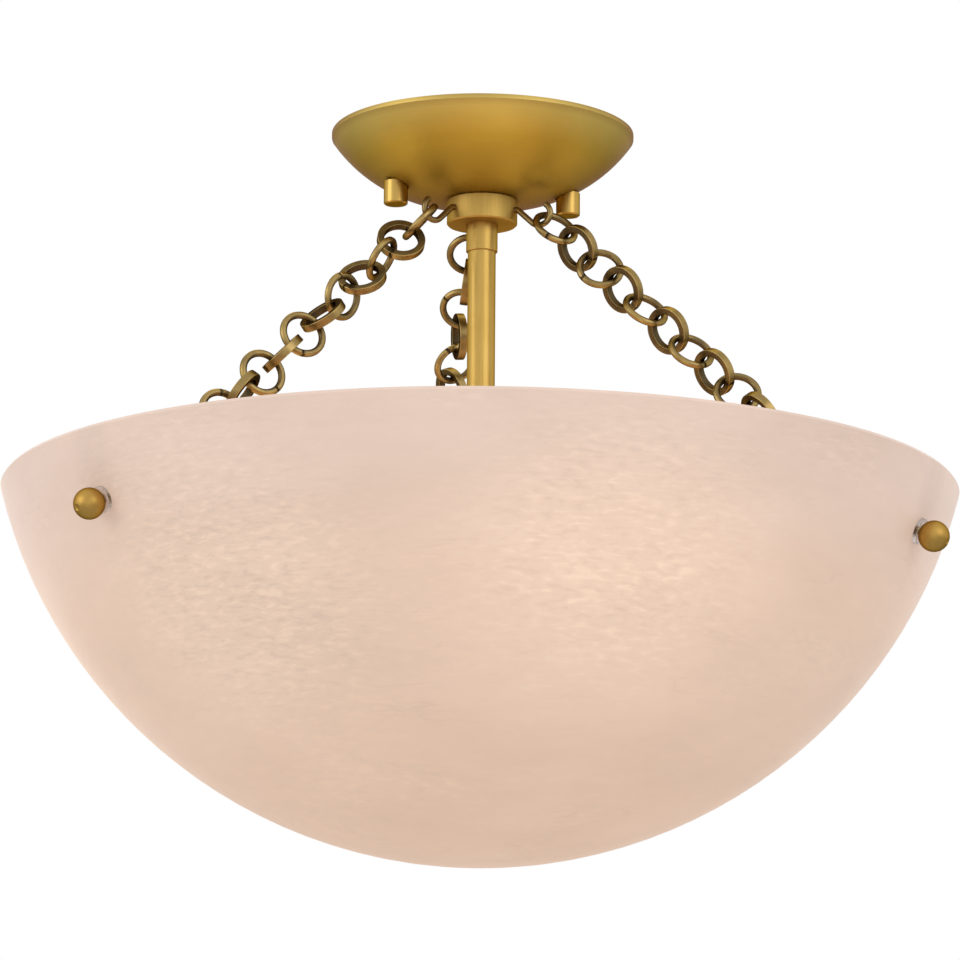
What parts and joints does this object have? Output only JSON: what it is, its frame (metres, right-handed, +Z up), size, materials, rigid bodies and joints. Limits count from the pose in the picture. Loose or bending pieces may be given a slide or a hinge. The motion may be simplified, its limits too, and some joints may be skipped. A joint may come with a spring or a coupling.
{
  "type": "semi flush ceiling light",
  "caption": "Semi flush ceiling light: a shallow alabaster bowl hung by ring chains from a brushed brass canopy and hub, with a stem that carries lamps inside the bowl.",
  "frame": {"origin": "centre of the mounting plate's upper face, in the ceiling's plane, on the stem's axis", "axes": "+Z up towards the ceiling, -Y to the front, +X to the right as seen from the front"},
  "size_m": [0.4057, 0.4072, 0.316],
  "materials": {
    "satin_brass": "satin brushed",
    "aged_brass": "aged, rubbed bright on the outside",
    "alabaster": "polished, warm and faintly veined",
    "clear_washer": "clear",
    "plated_steel": "zinc plated",
    "green_screw": "green plated",
    "cluster_brass": "satin",
    "porcelain": "glazed",
    "contact_brass": "bright",
    "bulb_cap": "bright",
    "bulb_glass": "frosted white"
  },
  "bodies": {
    "fixture": {"canopy": "satin_brass", "hub": "satin_brass", "stem_collar": "satin_brass", "stem_tube": "satin_brass", "hub_hook_left": "aged_brass", "hub_hook_right": "aged_brass", "hub_hook_back": "aged_brass", "mounting_plate": "plated_steel", "canopy_studs": "plated_steel", "stud_lock_nuts": "plated_steel", "hub_nipple": "plated_steel", "nipple_lock_nut": "plated_steel", "nipple_washer": "plated_steel", "cluster_rod": "plated_steel", "socket_nipple_1": "plated_steel", "socket_nipple_2": "plated_steel", "socket_nipple_3": "plated_steel", "ground_screw": "green_screw", "cluster_body": "cluster_brass", "cluster_cover": "cluster_brass", "cluster_finial": "cluster_brass", "lampholder_1": "porcelain", "lampholder_2": "porcelain", "lampholder_3": "porcelain", "screw_shell_1": "contact_brass", "screw_shell_2": "contact_brass", "screw_shell_3": "contact_brass", "centre_contact_1": "contact_brass", "centre_contact_2": "contact_brass", "centre_contact_3": "contact_brass"},
    "bowl": {"alabaster_bowl": "alabaster", "eye_bolt_left": "aged_brass", "eye_bolt_right": "aged_brass", "eye_bolt_back": "aged_brass", "inner_nuts": "aged_brass", "inner_washers": "aged_brass", "outer_washers": "clear_washer"},
    "chain_left": {"chain_left": "aged_brass"},
    "chain_right": {"chain_right": "aged_brass"},
    "chain_back": {"chain_back": "aged_brass"},
    "ball_left": {"ball_finial_left": "aged_brass"},
    "ball_right": {"ball_finial_right": "aged_brass"},
    "ball_back": {"ball_finial_back": "aged_brass"},
    "knob_left": {"canopy_knob_left": "satin_brass"},
    "knob_right": {"canopy_knob_right": "satin_brass"},
    "bulb_1": {"bulb_cap_1": "bulb_cap", "bulb_glass_1": "bulb_glass"},
    "bulb_2": {"bulb_cap_2": "bulb_cap", "bulb_glass_2": "bulb_glass"},
    "bulb_3": {"bulb_cap_3": "bulb_cap", "bulb_glass_3": "bulb_glass"}
  },
  "joints": [
    {"name": "bowl_sway", "type": "hinge", "parent": "fixture", "child": "bowl", "pos_m": [0, 0, -0.01185], "axis": [0, 1, 0], "range_deg": [-5, 5]},
    {"name": "chain_left_swing", "type": "hinge", "parent": "fixture", "child": "chain_left", "pos_m": [-0.02336, -0.01864, -0.04061], "axis": [0, 1, 0], "range_deg": [-6.1, 6.1]},
    {"name": "chain_right_swing", "type": "hinge", "parent": "fixture", "child": "chain_right", "pos_m": [0.02782, -0.0109, -0.04061], "axis": [0, 1, 0], "range_deg": [-6.1, 6.1]},
    {"name": "chain_back_swing", "type": "hinge", "parent": "fixture", "child": "chain_back", "pos_m": [-0.00447, 0.02955, -0.04061], "axis": [0, 1, 0], "range_deg": [-6.1, 6.1]},
    {"name": "ball_left_turn", "type": "hinge", "parent": "bowl", "child": "ball_left", "pos_m": [-0.15636, -0.12482, -0.18962], "axis": [-0.7215, -0.576, -0.3843], "continuous": true},
    {"name": "ball_right_turn", "type": "hinge", "parent": "bowl", "child": "ball_right", "pos_m": [0.18628, -0.073, -0.18962], "axis": [0.8596, -0.3369, -0.3843], "continuous": true},
    {"name": "ball_back_turn", "type": "hinge", "parent": "bowl", "child": "ball_back", "pos_m": [-0.02992, 0.19782, -0.18962], "axis": [-0.1381, 0.9128, -0.3843], "continuous": true},
    {"name": "knob_left_turn", "type": "hinge", "parent": "fixture", "child": "knob_left", "pos_m": [-0.03703, -0.00855, -0.028], "axis": [0, 0, 1], "continuous": true},
    {"name": "knob_right_turn", "type": "hinge", "parent": "fixture", "child": "knob_right", "pos_m": [0.03703, 0.00855, -0.028], "axis": [0, 0, 1], "continuous": true},
    {"name": "bulb_1_turn", "type": "hinge", "parent": "fixture", "child": "bulb_1", "pos_m": [0.01294, -0.03845, -0.18087], "axis": [0.3081, -0.9155, -0.2588], "continuous": true},
    {"name": "bulb_2_turn", "type": "hinge", "parent": "fixture", "child": "bulb_2", "pos_m": [0.02683, 0.03043, -0.18087], "axis": [0.6388, 0.7246, -0.2588], "continuous": true},
    {"name": "bulb_3_turn", "type": "hinge", "parent": "fixture", "child": "bulb_3", "pos_m": [-0.03977, 0.00802, -0.18087], "axis": [-0.9469, 0.1909, -0.2588], "continuous": true}
  ],
  "couplings": [
    {"joint": "chain_left_swing", "follows": "bowl_sway", "ratio": 1.2137},
    {"joint": "chain_right_swing", "follows": "bowl_sway", "ratio": 1.2137},
    {"joint": "chain_back_swing", "follows": "bowl_sway", "ratio": 1.2137}
  ]
}
